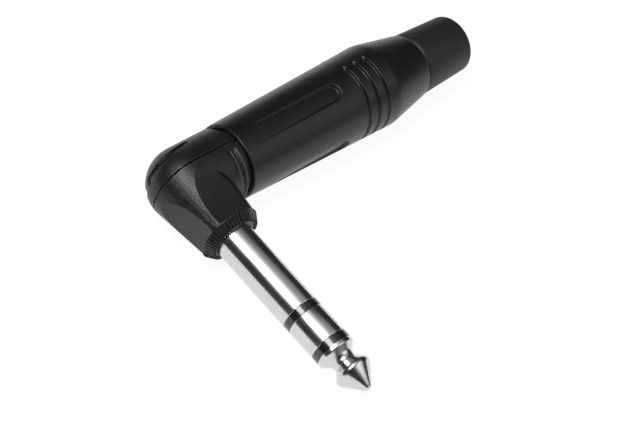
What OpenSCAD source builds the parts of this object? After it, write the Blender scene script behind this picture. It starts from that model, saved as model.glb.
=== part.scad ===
// Right-angle 6.35 mm stereo phone connector.
// The origin is the centre of the finger where it leaves the collar of the elbow.
// In the part's own axes the finger points along -Y and the barrel runs along +X;
// lay() then tips the whole part so that fingertip and barrel rest on one floor.

/* [Finger] */
// Diameter of the finger, the same for every jack of this kind
finger_d = 6.35; // [6.3:0.01:6.4]
// Length of the finger from the collar to the nose
finger_length = 30.5; // [30.2:0.1:31]
// Length of the sleeve contact outside the collar
sleeve_length = 15.2; // [14.8:0.1:15.5]
// Length of the ring contact
ring_length = 5.15; // [4.9:0.05:5.4]
// Visible width of each insulating band
band_width = 1.2; // [1.0:0.05:1.3]
// How far the insulating bands lie below the metal
band_recess = 0.05; // [0.03:0.01:0.06]
// Length of the flange at the back of the tip contact
tip_flange_length = 0.85; // [0.7:0.05:1]
// Diameter of the neck that the jack's spring drops into
tip_neck_d = 3.75; // [3.5:0.05:4]
// Diameter of the head of the tip contact
tip_head_d = 6.0; // [5.8:0.05:6.1]
// Radius of the nose
nose_r = 0.95; // [0.8:0.05:1.1]
// Distance from the nose to the widest part of the head
tip_head_length = 3.6; // [3.5:0.05:3.7]
// Diameter of the rod that carries the tip contact
tip_rod_d = 1.6; // [1.5:0.05:1.7]
// Wall of the tubes that lie inside one another in the finger
tube_wall = 0.45; // [0.4:0.01:0.46]
// Radial gap between the tubes of the finger
tube_gap = 0.02; // [0.01:0.005:0.03]

/* [Elbow] */
// Height of the barrel's axis above the collar face
barrel_height = 11.7; // [11.5:0.1:12]
// Radius of the elbow round the barrel's axis and round the finger's axis
elbow_r = 6.1; // [6.05:0.01:6.15]
// Where the elbow ends under the barrel
elbow_end = 7.4; // [7.3:0.05:7.5]
// How far the middle of the spout and of the dome lies from the finger's axis
spout_x = 0.2; // [0.1:0.05:0.25]
// Radius of the spout where it meets the collar
spout_r = 5; // [4.95:0.05:5.1]
// Radius of the flat face of the collar
collar_face_r = 4.15; // [4:0.05:4.2]
// Length of the collar's serrated bevel
collar_bevel = 1.4; // [1.3:0.05:1.5]
// Thickness of the round flange behind the bevel
collar_rim = 0.18; // [0.1:0.02:0.3]
// Number of serrations round the collar
tooth_count = 48; // [40:4:56]
// Depth of a serration
tooth_depth = 0.16; // [0.1:0.01:0.2]
// Distance of the deepest part of a scoop from the finger's axis
scoop_floor = 3.98; // [3.95:0.01:4.1]
// Radius of the long hollow curve of a scoop
scoop_r = 28; // [26:0.5:32]
// How far the side scoops run over the neck of the elbow
scoop_reach = 1.8; // [1.5:0.1:2.2]
// How far the floor of the terminal chamber lies below the barrel's axis
chamber_drop = 5.1; // [5:0.05:5.2]
// Thickness of the elbow's shell round the terminal chamber
shell_wall = 1.25; // [1.2:0.05:1.3]
// Radius of the pocket that the sleeve's flange sits in
pocket_r = 3.9; // [3.85:0.05:3.95]
// Gap between the cover and the housing at the parting line
parting_gap = 0.1; // [0.06:0.01:0.12]
// Thickness of the cover's lip under the barrel's skirt
lip_thickness = 0.6; // [0.55:0.01:0.62]

/* [Neck] */
// How far the neck ring that shows before the barrel lies below the elbow's skin
neck_step = 0.55; // [0.5:0.01:0.6]
// Where the neck ring ends under the barrel's skirt
neck_end = 10.3; // [10.2:0.05:10.4]
// Where the threaded tube ends
tube_end = 16; // [15.8:0.1:16.2]
// How far the thread that the barrel screws on lies below the neck ring
thread_step = 0.25; // [0.23:0.01:0.3]
// Wall of the threaded tube
thread_wall = 1.03; // [1:0.01:1.05]
// Place of the grip groove on the elbow's neck
neck_groove_x = 6.85; // [6.7:0.05:6.95]
// Width of the grip groove on the neck
neck_groove_width = 0.5; // [0.4:0.05:0.6]
// Depth of the grip groove on the neck
neck_groove_depth = 0.3; // [0.2:0.05:0.35]

/* [Cover swoosh] */
// Depth of the swoosh recesses in the cover
swoosh_depth = 0.3; // [0.2:0.05:0.4]
// Height of the swoosh's broad end above the parting line
swoosh_low = 2.55; // [2.4:0.05:2.8]
// Height of the swoosh's narrow end above the parting line
swoosh_high = 3.95; // [3.8:0.05:4.1]
// Width of the swoosh's broad end
swoosh_broad = 1.1; // [0.9:0.05:1.2]
// Width of the swoosh's narrow end
swoosh_narrow = 0.55; // [0.4:0.05:0.7]
// Distance of each swoosh's broad end from the middle of the cover
swoosh_start = 0.75; // [0.6:0.05:1]
// Where the swooshes end toward the barrel
swoosh_end = 2.2; // [1.8:0.1:2.6]

/* [Barrel] */
// Where the barrel's front rim lies
barrel_front = 8.6; // [8.5:0.05:8.7]
// Where the barrel's rear cone ends
barrel_rear = 49.1; // [49:0.1:49.4]
// Length of the rear cone, from the shoulder to the rear end
rear_cone = 8.8; // [8.5:0.1:9]
// Thickness of the skirt over the neck ring
skirt_wall = 0.55; // [0.5:0.01:0.6]
// Gap between the skirt and the neck ring
skirt_gap = 0.15; // [0.13:0.01:0.2]
// How much wider the barrel is at the shoulder than at the front rim, on each side
shoulder_rise = 0.95; // [0.9:0.01:1]
// How much the rear cone draws in from the shoulder, on each side
rear_taper = 1.54; // [1.5:0.01:1.6]
// Radius that softens the shoulder
shoulder_blend = 6; // [4:0.5:8]
// How much wider the bore is behind the thread, on each side
thread_relief = 0.2; // [0.15:0.01:0.25]
// How much the closing cone narrows the wide bore's radius
cone_close = 1.05; // [1:0.05:1.1]
// Length of the closing cone
cone_length = 9.2; // [8.8:0.1:9.6]
// Thickness of the wall behind the closing cone
rear_wall = 2.9; // [2.8:0.05:3]
// Number of thumb panels round the barrel
panel_count = 4; // [2:1:4]
// Angle of the first thumb panel, from the cover's side toward the top
panel_turn = 99; // [90:1:110]
// Half width of a thumb panel's floor
panel_half = 1.3; // [1.2:0.05:1.4]
// How much wider a thumb panel is on each side at the front
panel_spread = 0.4; // [0.2:0.05:0.5]
// Width of the bevel round a thumb panel
panel_bevel = 0.35; // [0.2:0.05:0.45]
// How far the thumb panels' floor lies outside the front rim's radius
panel_rise = 0.13; // [0.11:0.01:0.17]
// Distance from a thumb panel's round end to the first shoulder groove
panel_back = 3.6; // [3.2:0.1:4.2]
// Distance from the first shoulder groove to the shoulder
groove_back = 7.1; // [6.9:0.1:7.3]
// Distance between the shoulder grooves
groove_pitch = 2.18; // [2.1:0.02:2.25]
// Number of shoulder grooves
groove_count = 3; // [2:1:3]
// Width of a shoulder groove
groove_width = 0.72; // [0.6:0.02:0.8]
// Depth of a shoulder groove
groove_depth = 0.36; // [0.25:0.01:0.45]
// Angle that one shoulder groove spans
groove_span = 143; // [130:1:150]

/* [Chuck and boot] */
// Thickness of the chuck's jaws at their rear end
jaw_wall = 1.05; // [1:0.05:1.1]
// Width of the slots between the jaws
jaw_slot = 1.1; // [0.9:0.1:1.3]
// Number of jaws
jaw_count = 4; // [3:1:4]
// Height of the ribs that bite into the cable
jaw_rib = 0.3; // [0.2:0.05:0.35]
// Gap between the chuck and the barrel
chuck_gap = 0.2; // [0.15:0.01:0.25]
// Gap between the chuck's guide tube and the threaded tube
guide_gap = 0.04; // [0.03:0.005:0.05]
// Gap between the barrel's thread and the elbow's thread
thread_gap = 0.05; // [0.03:0.01:0.08]
// How far the front of the boot lies below the barrel's rear edge
boot_step = 0.21; // [0.16:0.01:0.26]
// How much the boot draws in toward its rear end, on each side
boot_taper = 0.4; // [0.35:0.01:0.45]
// Length of the boot behind the barrel
boot_length = 11.6; // [11.4:0.1:11.9]
// Radius that rounds the boot's rear edge
boot_edge = 1.0; // [0.8:0.1:1.2]
// How much the boot's stem is smaller than the closing cone's narrow end
stem_step = 0.2; // [0.18:0.01:0.25]
// How much the cable passage of the boot is smaller than the chuck's bore
passage_step = 0.05; // [0:0.05:0.1]

/* [Terminals] */
// Thickness of the terminal tags
tag_thickness = 0.4; // [0.35:0.05:0.45]
// Thickness of the insulating washers
washer_thickness = 0.7; // [0.65:0.05:0.75]
// Thickness of the flange at the inner end of the sleeve
sleeve_flange = 0.6; // [0.5:0.05:0.65]
// Height of the riveted end of the tip's rod
rivet_height = 0.5; // [0.4:0.05:0.6]
// How far the sleeve's tag reaches from the finger's axis
sleeve_tag_reach = 6.2; // [6:0.1:6.4]
// How far the ring's tag reaches from the finger's axis
ring_tag_reach = 9.6; // [9.2:0.1:9.8]
// How far the tip's tag reaches from the finger's axis
tip_tag_reach = 10.8; // [10.4:0.1:11]
// Width of the sleeve's tag
sleeve_tag_width = 2.6; // [2.4:0.1:2.8]
// Width of the tags of the ring and the tip
signal_tag_width = 2.4; // [2.2:0.1:2.6]
// Radius of the round part of the ring's tag
ring_tag_r = 3.1; // [3:0.05:3.2]
// Radius of the round part of the tip's tag
tip_tag_r = 2.6; // [2.4:0.05:2.7]
// Radius of the upper washer
upper_washer_r = 3.3; // [3.2:0.05:3.4]

/* [Hidden] */
$fn = 96;
eps = 0.01;
far = 100;
finger_r = finger_d / 2;
band_r = finger_r - band_recess;
ring_back = -sleeve_length - band_width;
ring_front = ring_back - ring_length;
tip_back = ring_front - band_width;
nose_y = -finger_length;
tip_rod_r = tip_rod_d / 2;
tip_tube_in = tip_rod_r + tube_gap;
ring_tube_in = tip_tube_in + tube_wall + tube_gap;
ring_band_in = ring_tube_in + tube_wall + tube_gap;
sleeve_bore_r = ring_band_in + tube_wall + tube_gap;
// Levels of the stack of tags and washers in the terminal chamber
chamber_floor = barrel_height - chamber_drop;
flange_top = chamber_floor + sleeve_flange;
sleeve_tag_top = flange_top + tag_thickness;
lower_washer_top = sleeve_tag_top + washer_thickness;
ring_tag_top = lower_washer_top + tag_thickness;
upper_washer_top = ring_tag_top + washer_thickness;
tip_tag_top = upper_washer_top + tag_thickness;
// The sleeve's shank is thicker inside the elbow, so the finger can't pull out
shank_r = finger_r + 0.18;
shank_start = 0.15;
flange_r = pocket_r - 0.12;
// Radii from the elbow's skin inward, then outward over the barrel and on to the boot
chamber_r = elbow_r - shell_wall;
neck_r = elbow_r - neck_step;
thread_r = neck_r - thread_step;
tube_bore_r = thread_r - thread_wall;
skirt_bore_r = neck_r + skirt_gap;
barrel_front_r = skirt_bore_r + skirt_wall;
shoulder_r = barrel_front_r + shoulder_rise;
barrel_rear_r = shoulder_r - rear_taper;
wide_bore_r = thread_r + thread_gap + thread_relief;
cone_small_r = wide_bore_r - cone_close;
jaw_bore_r = cone_small_r - chuck_gap - jaw_wall;
cable_r = jaw_bore_r - passage_step;
cable_stem_r = cone_small_r - stem_step;
boot_front_r = barrel_rear_r - boot_step;
boot_rear_r = boot_front_r - boot_taper;
panel_floor_r = barrel_front_r + panel_rise;
// Places along the barrel, from its rear end forward
shoulder_x = barrel_rear - rear_cone;
groove_x = shoulder_x - groove_back;
panel_rear = groove_x - panel_back;
cone_end = barrel_rear - rear_wall;
cone_start = cone_end - cone_length;
boot_end = barrel_rear + boot_length;
// The tilt at which the fingertip and the barrel's shoulder touch the same floor
tip_head_y = nose_y + tip_head_length;
rest_span = barrel_height - tip_head_y;
lay_tilt = asin(shoulder_r / norm([rest_span, tip_head_d / 2])) - atan2(tip_head_d / 2, rest_span);
barrel_slope = (shoulder_r - barrel_front_r) / (shoulder_x - barrel_front);
groove_middle = panel_turn + 45;
guide_r = tube_bore_r - guide_gap;
key_width = 1;
key_depth = 0.45;

function barrel_r(x) = barrel_front_r + barrel_slope * (x - barrel_front);
// Points of an arc round [cx, cy]
function arc(cx, cy, r, from, to, steps = 8) =
    [for (i = [0:steps]) let (a = from + (to - from) * i / steps) [cx + r * cos(a), cy + r * sin(a)]];

module lay() { rotate([lay_tilt, 0, 0]) children(); }
// Children's Z runs along the finger's axis, away from the nose
module on_finger(y = 0) { translate([0, y, 0]) rotate([-90, 0, 0]) children(); }
// Children's Z runs along the barrel's axis, their X points to the cover's side
module on_barrel(x = 0) { translate([x, barrel_height, 0]) rotate([90, 0, 90]) children(); }
// Turns children round the barrel's axis, from the cover's side toward the top
module barrel_turned(angle) {
    translate([0, barrel_height, 0]) rotate([angle, 0, 0]) translate([0, -barrel_height, 0]) children();
}
module tube(outer, inner, length) {
    difference() {
        cylinder(r = outer, h = length);
        translate([0, 0, -1]) cylinder(r = inner, h = length + 2);
    }
}

// Finger

module tip_contact() {
    neck_r = tip_neck_d / 2;
    head_r = tip_head_d / 2;
    cone = 44;
    head_blend = 0.45;
    neck_blend = 0.5;
    flange_front = tip_back - tip_flange_length;
    color("silver") lay() on_finger() {
        rotate_extrude() polygon(concat(
            [[0, nose_y]],
            arc(0, nose_y + nose_r, nose_r, -80, -cone, 5),
            arc(head_r - head_blend, tip_head_y - 0.1, head_blend, -cone, 50, 8),
            arc(neck_r + neck_blend, tip_back - 2.25, neck_blend, -130, -180, 5),
            arc(neck_r + neck_blend, tip_back - 1.9, neck_blend, -180, -230, 5),
            [[finger_r - 0.18, flange_front], [finger_r - 0.05, flange_front + 0.15],
             [finger_r - 0.05, tip_back], [0, tip_back]]));
        translate([0, 0, tip_back - eps]) cylinder(r = tip_rod_r, h = tip_tag_top - tip_back + eps);
        translate([0, 0, tip_tag_top])
            cylinder(r1 = tip_rod_r + 0.55, r2 = tip_rod_r + 0.1, h = rivet_height);
    }
}

module tip_insulator() {
    color("#1a1a1c") lay() on_finger() {
        translate([0, 0, tip_back]) tube(band_r, tip_tube_in, band_width);
        translate([0, 0, ring_front - eps])
            tube(tip_tube_in + tube_wall, tip_tube_in, ring_tag_top - ring_front + eps);
    }
}

module ring_contact() {
    edge = 0.12;
    color("silver") lay() on_finger() {
        rotate_extrude() polygon([[ring_tube_in, ring_front], [finger_r - 0.02 - edge, ring_front],
            [finger_r - 0.02, ring_front + edge], [finger_r - 0.02, ring_back - edge],
            [finger_r - 0.02 - edge, ring_back], [ring_tube_in + tube_wall, ring_back],
            [ring_tube_in + tube_wall, ring_tag_top], [ring_tube_in, ring_tag_top]]);
    }
}

module ring_insulator() {
    color("#1a1a1c") lay() on_finger() {
        translate([0, 0, ring_back]) tube(band_r, ring_band_in, band_width);
        translate([0, 0, -sleeve_length - eps])
            tube(ring_band_in + tube_wall, ring_band_in, sleeve_tag_top + sleeve_length + eps);
    }
}

module plug_sleeve() {
    edge = 0.15;
    color("silver") lay() on_finger()
        rotate_extrude() polygon([[sleeve_bore_r, -sleeve_length], [finger_r - edge, -sleeve_length],
            [finger_r, edge - sleeve_length], [finger_r, shank_start], [shank_r, shank_start],
            [shank_r, chamber_floor], [flange_r, chamber_floor],
            [flange_r, flange_top], [sleeve_bore_r, flange_top]]);
}

// Terminals

// A flat tag round the finger's axis with a tongue that ends in a solder hole
module tag(level, hole_r, ring_r, reach, width) {
    hole = width * 0.22;
    color("#c9c4b4") lay() on_finger(level) linear_extrude(tag_thickness) difference() {
        union() {
            circle(r = ring_r);
            translate([0, -width / 2]) square([reach - width / 2, width]);
            translate([reach - width / 2, 0]) circle(r = width / 2);
        }
        circle(r = hole_r);
        translate([reach - width / 2, 0]) circle(r = hole);
    }
}

module sleeve_terminal() {
    tag(flange_top, sleeve_bore_r, flange_r - 0.1, sleeve_tag_reach, sleeve_tag_width);
}
module ring_terminal() {
    tag(lower_washer_top, ring_band_in - tube_gap / 2, ring_tag_r, ring_tag_reach, signal_tag_width);
}
module tip_terminal() {
    tag(upper_washer_top, tip_rod_r + tube_gap / 2, tip_tag_r, tip_tag_reach, signal_tag_width);
}

module lower_washer() {
    color("#7a4a2a") lay() on_finger(sleeve_tag_top) tube(flange_r - 0.25, ring_band_in, washer_thickness);
}

module upper_washer() {
    color("#7a4a2a") lay() on_finger(ring_tag_top) tube(upper_washer_r, tip_tube_in, washer_thickness);
}

// Elbow

// A scoop: a hollow of large radius, flat across, that deepens toward the collar
module scoop(turn) {
    translate([spout_x, 0, 0]) rotate([0, turn, 0]) translate([scoop_floor + scoop_r, 0, -far / 2])
        cylinder(r = scoop_r, h = far, $fn = 200);
}

module spout() {
    difference() {
        translate([spout_x, 0, 0]) on_finger(collar_bevel)
            cylinder(r1 = spout_r, r2 = elbow_r, h = barrel_height - collar_bevel);
        for (turn = [0:90:270]) scoop(turn);
    }
}

module serrated_collar() {
    slant = atan2(spout_r - collar_face_r, collar_bevel);
    translate([spout_x, 0, 0]) on_finger() difference() {
        rotate_extrude() polygon([[0, 0], [collar_face_r, 0], [spout_r, collar_bevel],
            [spout_r, collar_bevel + collar_rim], [0, collar_bevel + collar_rim + 1]]);
        for (i = [0:tooth_count - 1])
            rotate([0, 0, 360 * i / tooth_count]) translate([collar_face_r, 0, 0]) rotate([0, slant, 0])
                rotate([0, 0, 45]) cube([tooth_depth * 1.41, tooth_depth * 1.41, 4], center = true);
    }
}

// Half of the elbow's neck, on the finger's side
module neck_half() {
    difference() {
        intersection() {
            on_barrel(spout_x) cylinder(r = elbow_r, h = elbow_end - spout_x);
            translate([-far / 2, barrel_height - far, -far / 2]) cube([far, far, far]);
        }
        intersection() {
            for (turn = [90, 270]) scoop(turn);
            translate([-far + scoop_reach, -far / 2, -far / 2]) cube([far, far, far]);
        }
    }
}

// A round bar on the barrel's axis that ends in a dome on the far side
module domed_bar(r, end) {
    on_barrel(spout_x) rotate_extrude() union() {
        intersection() {
            circle(r = r);
            translate([0, -r]) square([r, r]);
        }
        square([r, end - spout_x]);
    }
}

module chamber() {
    domed_bar(chamber_r, elbow_end - 1.2);
    on_barrel(elbow_end - 2) cylinder(r = tube_bore_r, h = far);
}

// Ribs that keep the chuck from turning in the threaded tube
module guide_keys() {
    for (side = [-1, 1])
        translate([elbow_end, barrel_height - key_width / 2,
                side * (tube_bore_r + 0.1) - (side + 1) / 2 * (key_depth + 0.1)])
            cube([tube_end - elbow_end, key_width, key_depth + 0.1]);
}

// Grip groove round the finger's side of the neck
module neck_groove() {
    intersection() {
        arc_groove(neck_groove_x, elbow_r, neck_groove_width, neck_groove_depth, 0, eps);
        translate([0, barrel_height - far - 1.1, -far / 2]) cube([far, far, far]);
    }
}

module elbow_housing() {
    color("#26272a") lay() {
        difference() {
            union() {
                spout();
                serrated_collar();
                neck_half();
                intersection() {
                    on_barrel(0) cylinder(r = neck_r, h = neck_end);
                    translate([0, barrel_height - far, -far / 2]) cube([far, far, far]);
                }
                on_barrel(elbow_end - 1.2)
                    cylinder(r = neck_r - lip_thickness - 0.05, h = neck_end - elbow_end + 1.3);
                on_barrel(neck_end) cylinder(r = thread_r, h = tube_end - neck_end);
            }
            chamber();
            on_finger(-1) cylinder(r = finger_r + 0.015, h = far);
            on_finger(shank_start) cylinder(r = shank_r + 0.01, h = far);
            on_finger(chamber_floor) cylinder(r = pocket_r, h = barrel_height - chamber_floor + 1);
            neck_groove();
        }
        guide_keys();
    }
}

// Outer form of the cover, drawn in by inset
module cover_form(inset) { domed_bar(elbow_r - inset, elbow_end - inset); }

// Side view of the two swooshes
module swoosh() {
    back = -elbow_r - 0.5;
    difference() {
        intersection() {
            difference() {
                cover_form(-1);
                cover_form(swoosh_depth);
            }
            translate([0, barrel_height, -far / 2]) linear_extrude(far) union() {
                polygon([[back, swoosh_low - swoosh_broad / 2 - 0.1],
                    [swoosh_end, swoosh_high - swoosh_narrow / 2],
                    [swoosh_end, swoosh_high + swoosh_narrow / 2], [back, swoosh_low + swoosh_broad / 2]]);
                translate([swoosh_end, swoosh_high]) circle(r = swoosh_narrow / 2);
            }
        }
        translate([-far / 2, 0, -swoosh_start]) cube([far, far, 2 * swoosh_start]);
    }
}

module elbow_cover() {
    color("#26272a") lay() {
        difference() {
            intersection() {
                cover_form(0);
                translate([-far / 2, barrel_height + parting_gap, -far / 2]) cube([far, far, far]);
            }
            chamber();
            on_barrel(elbow_end - 1.3) cylinder(r = neck_r - lip_thickness, h = far);
            swoosh();
        }
        intersection() {
            on_barrel(elbow_end - 1) tube(neck_r, neck_r - lip_thickness, neck_end - elbow_end + 0.9);
            translate([0, barrel_height + parting_gap, -far / 2]) cube([far, far, far]);
        }
    }
}

// A bent sheet that keeps the soldered wires off the cover
module insulating_liner() {
    sheet = 0.35;
    color("#d8d2be") lay() intersection() {
        on_barrel(0.1) tube(chamber_r - 0.05, chamber_r - 0.05 - sheet, elbow_end - 1.5);
        translate([0, barrel_height + 0.4, -far / 2]) cube([far, far, far]);
    }
}

// Chuck, barrel and boot

module strain_relief_chuck() {
    front = neck_end + 1.3;
    hub = tube_end + 3;
    rear = cone_end - 0.3;
    slope = (wide_bore_r - cone_small_r) / (cone_end - cone_start);
    hub_r = wide_bore_r - chuck_gap - 0.1;
    guide_in = guide_r - 0.75;
    color("#b9b6ac") lay() difference() {
        on_barrel() rotate_extrude() polygon(concat(
            [[guide_in, front], [guide_r - 0.2, front], [guide_r, front + 0.3], [guide_r, hub - 0.5],
             [hub_r - 0.4, hub], [hub_r, hub + 0.4], [hub_r, cone_start - 0.5],
             [cone_small_r - chuck_gap + slope * (cone_end - rear), rear],
             [jaw_bore_r + 0.4, rear], [jaw_bore_r, rear - 0.5]],
            [for (i = [0:3]) let (back = rear - 2.4 * i)
                each [[jaw_bore_r, back - 2], [jaw_bore_r - jaw_rib, back - 2.4], [jaw_bore_r, back - 2.8]]],
            [[jaw_bore_r, cone_start - 8], [guide_in, cone_start - 9]]));
        for (i = [0:jaw_count - 1]) on_barrel() rotate([0, 0, 360 * (i + 0.5) / jaw_count])
            translate([0, -jaw_slot / 2, cone_start - 6]) cube([far, jaw_slot, far]);
        for (side = [90, 270]) on_barrel() rotate([0, 0, side])
            translate([0, -key_width / 2 - 0.08, 0]) cube([far, key_width + 0.16, hub + 1]);
    }
}

// Groove with sloped walls round the barrel's axis, left out where a bar of half width gap lies
module arc_groove(x, r, width, depth, gap_turn, gap) {
    floor_half = width / 2 - depth * 0.6;
    on_barrel(x) rotate([0, 0, gap_turn]) difference() {
        rotate_extrude() polygon([[r - depth, -floor_half], [r + 1, -width / 2 - 0.6],
            [r + 1, width / 2 + 0.6], [r - depth, floor_half]]);
        translate([-far / 2, -gap, -far / 2]) cube([far, 2 * gap, far]);
    }
}

// Thumb panel: an obround pocket with a beveled edge and a floor parallel to the axis
module thumb_panel() {
    low = panel_floor_r - 0.6;
    high = shoulder_r + 0.6;
    steep = panel_bevel / (barrel_r(panel_rear) - panel_floor_r);
    low_half = panel_half + (low - panel_floor_r) * steep;
    high_half = panel_half + (high - panel_floor_r) * steep;
    centre = panel_rear - panel_half - panel_bevel;
    length = centre - barrel_front + 2;
    on_barrel(centre) difference() {
        hull() {
            panel_disc(low, 0, low_half);
            panel_disc(high, 0, high_half);
            panel_disc(low, -length, low_half + panel_spread);
            panel_disc(high, -length, high_half + panel_spread);
        }
        cylinder(r = panel_floor_r, h = far, center = true);
    }
}

module panel_disc(level, along, r) {
    translate([level, 0, along]) rotate([0, 90, 0]) cylinder(r = r, h = eps, $fn = 32);
}

module barrel() {
    blend = shoulder_blend;
    rear_slope = atan2(shoulder_r - barrel_rear_r, barrel_rear - shoulder_x);
    front_slope = atan(barrel_slope);
    plug_r = cable_stem_r + 0.05;
    color("#232427") lay() difference() {
        on_barrel() rotate_extrude() polygon(concat(
            [[skirt_bore_r, barrel_front], [barrel_front_r - 0.2, barrel_front],
             [barrel_front_r, barrel_front + 0.2]],
            arc(shoulder_r - blend, shoulder_x - 0.4, blend, -front_slope, rear_slope, 8),
            [[barrel_rear_r, barrel_rear - 0.2], [barrel_rear_r - 0.25, barrel_rear],
             [plug_r, barrel_rear], [plug_r, cone_end + 1.5], [plug_r + 0.5, cone_end + 1.5],
             [plug_r + 0.5, cone_end], [cone_small_r, cone_end], [wide_bore_r, cone_start],
             [wide_bore_r, tube_end + 1.5], [thread_r + thread_gap, tube_end + 1],
             [thread_r + thread_gap, neck_end + 0.3], [skirt_bore_r, neck_end + 0.1]]));
        for (i = [0:panel_count - 1]) barrel_turned(panel_turn + 360 * i / panel_count) thumb_panel();
        for (i = [0:groove_count - 1])
            arc_groove(groove_x + i * groove_pitch, barrel_r(groove_x + i * groove_pitch), groove_width,
                groove_depth, groove_middle + 90, shoulder_r * cos(groove_span / 2));
    }
}

module cable_boot() {
    color("#303135") lay() on_barrel() rotate_extrude() polygon(concat(
        [[cable_r, cone_end + 0.15], [cable_stem_r + 0.45, cone_end + 0.15],
         [cable_stem_r + 0.45, cone_end + 1.4], [cable_stem_r, cone_end + 1.4],
         [cable_stem_r, barrel_rear + 0.1]],
        arc(boot_front_r - 0.8, barrel_rear + 0.9, 0.8, -90, 0, 6),
        arc(boot_rear_r - boot_edge, boot_end - boot_edge, boot_edge, 0, 90, 8),
        [[cable_r + 0.3, boot_end], [cable_r, boot_end - 0.3]]));
}

tip_contact();
tip_insulator();
ring_contact();
ring_insulator();
plug_sleeve();
sleeve_terminal();
lower_washer();
ring_terminal();
upper_washer();
tip_terminal();
elbow_housing();
elbow_cover();
insulating_liner();
strain_relief_chuck();
barrel();
cable_boot();
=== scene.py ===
import bpy
import bmesh
import math
from mathutils import Matrix, Vector


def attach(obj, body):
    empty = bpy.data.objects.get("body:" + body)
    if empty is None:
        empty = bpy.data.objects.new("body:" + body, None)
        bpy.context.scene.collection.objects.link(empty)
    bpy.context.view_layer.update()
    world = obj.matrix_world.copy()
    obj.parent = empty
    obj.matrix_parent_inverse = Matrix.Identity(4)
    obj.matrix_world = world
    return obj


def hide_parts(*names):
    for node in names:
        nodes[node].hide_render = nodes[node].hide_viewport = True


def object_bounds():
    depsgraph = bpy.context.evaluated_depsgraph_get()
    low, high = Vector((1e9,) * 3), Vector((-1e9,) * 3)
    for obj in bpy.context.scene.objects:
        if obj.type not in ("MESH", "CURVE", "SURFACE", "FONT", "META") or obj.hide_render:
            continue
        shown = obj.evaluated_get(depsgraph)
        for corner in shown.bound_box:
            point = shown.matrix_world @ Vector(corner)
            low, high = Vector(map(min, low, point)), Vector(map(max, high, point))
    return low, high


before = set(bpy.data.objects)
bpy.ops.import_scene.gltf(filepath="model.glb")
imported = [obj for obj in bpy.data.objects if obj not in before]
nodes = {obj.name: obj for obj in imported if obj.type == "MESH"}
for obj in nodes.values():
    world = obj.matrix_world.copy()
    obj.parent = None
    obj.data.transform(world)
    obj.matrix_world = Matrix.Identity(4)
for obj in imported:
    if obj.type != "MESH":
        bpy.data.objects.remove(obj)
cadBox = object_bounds()
print("frame loaded:", len(nodes), "CAD nodes")

# The part lies tipped about X, so that fingertip and barrel rest on one floor
layTurn = Matrix.Rotation(math.radians(6.274), 4, "X")
barrelHeight = 11.7   # mm, from the elbow's mouth to the barrel's axis
toMetres = Matrix.Scale(0.001, 4)
# Drawing frames in mm: the finger's Z runs from the nose to the elbow, the barrel's Z toward the cable
fingerFrame = toMetres @ layTurn @ Matrix.Rotation(math.radians(-90), 4, "X")
barrelFrame = toMetres @ layTurn @ Matrix.Translation((0, barrelHeight, 0)) @ Matrix(
    ((0, 0, 1, 0), (1, 0, 0, 0), (0, 1, 0, 0), (0, 0, 0, 1)))

# Camera at the photograph's viewing angle

cameraSettings = {
    "lens": 90, "sensor": 36,                # mm
    "place": (-125.54, -96.81, 177.50),      # mm
    "aim": (13.33, -4.93, 0),                # the point of the floor that it looks at, in mm
    "roll": 17.26,                           # degrees
}


def makeCamera(s):
    data = bpy.data.cameras.new("camera")
    data.lens = s["lens"]
    data.sensor_width = s["sensor"]
    data.clip_start, data.clip_end = 0.01, 20
    camera = bpy.data.objects.new("camera", data)
    bpy.context.scene.collection.objects.link(camera)
    place, aim = Vector(s["place"]) * 0.001, Vector(s["aim"]) * 0.001
    look = (aim - place).to_track_quat("-Z", "Y").to_matrix().to_4x4()
    camera.matrix_world = Matrix.Translation(place) @ look @ Matrix.Rotation(math.radians(s["roll"]), 4, "Z")
    bpy.context.scene.camera = camera


makeCamera(cameraSettings)
print("camera placed")

# Shader groups that more than one finish uses


def groupTree(name, inputs, outputs):
    tree = bpy.data.node_groups.new(name, "ShaderNodeTree")
    for label, value in inputs.items():
        socket = tree.interface.new_socket(name=label, in_out="INPUT", socket_type="NodeSocketFloat")
        socket.default_value = value
    for label in outputs:
        tree.interface.new_socket(name=label, in_out="OUTPUT", socket_type="NodeSocketFloat")
    return tree, tree.nodes.new("NodeGroupInput"), tree.nodes.new("NodeGroupOutput")


def mathNode(tree, operation, a, b=None, clamp=False):
    node = tree.nodes.new("ShaderNodeMath")
    node.operation = operation
    node.use_clamp = clamp
    for i, value in enumerate((a, b)):
        if value is None:
            continue
        if isinstance(value, (int, float)):
            node.inputs[i].default_value = value
        else:
            tree.links.new(value, node.inputs[i])
    return node.outputs[0]


def noiseNode(tree, coords, size, detail):
    # Noise whose patches are about as large as the size socket says, in metres
    noise = tree.nodes.new("ShaderNodeTexNoise")
    noise.inputs["Detail"].default_value = detail
    tree.links.new(coords, noise.inputs["Vector"])
    tree.links.new(mathNode(tree, "DIVIDE", 1.0, size), noise.inputs["Scale"])
    return noise


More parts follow.
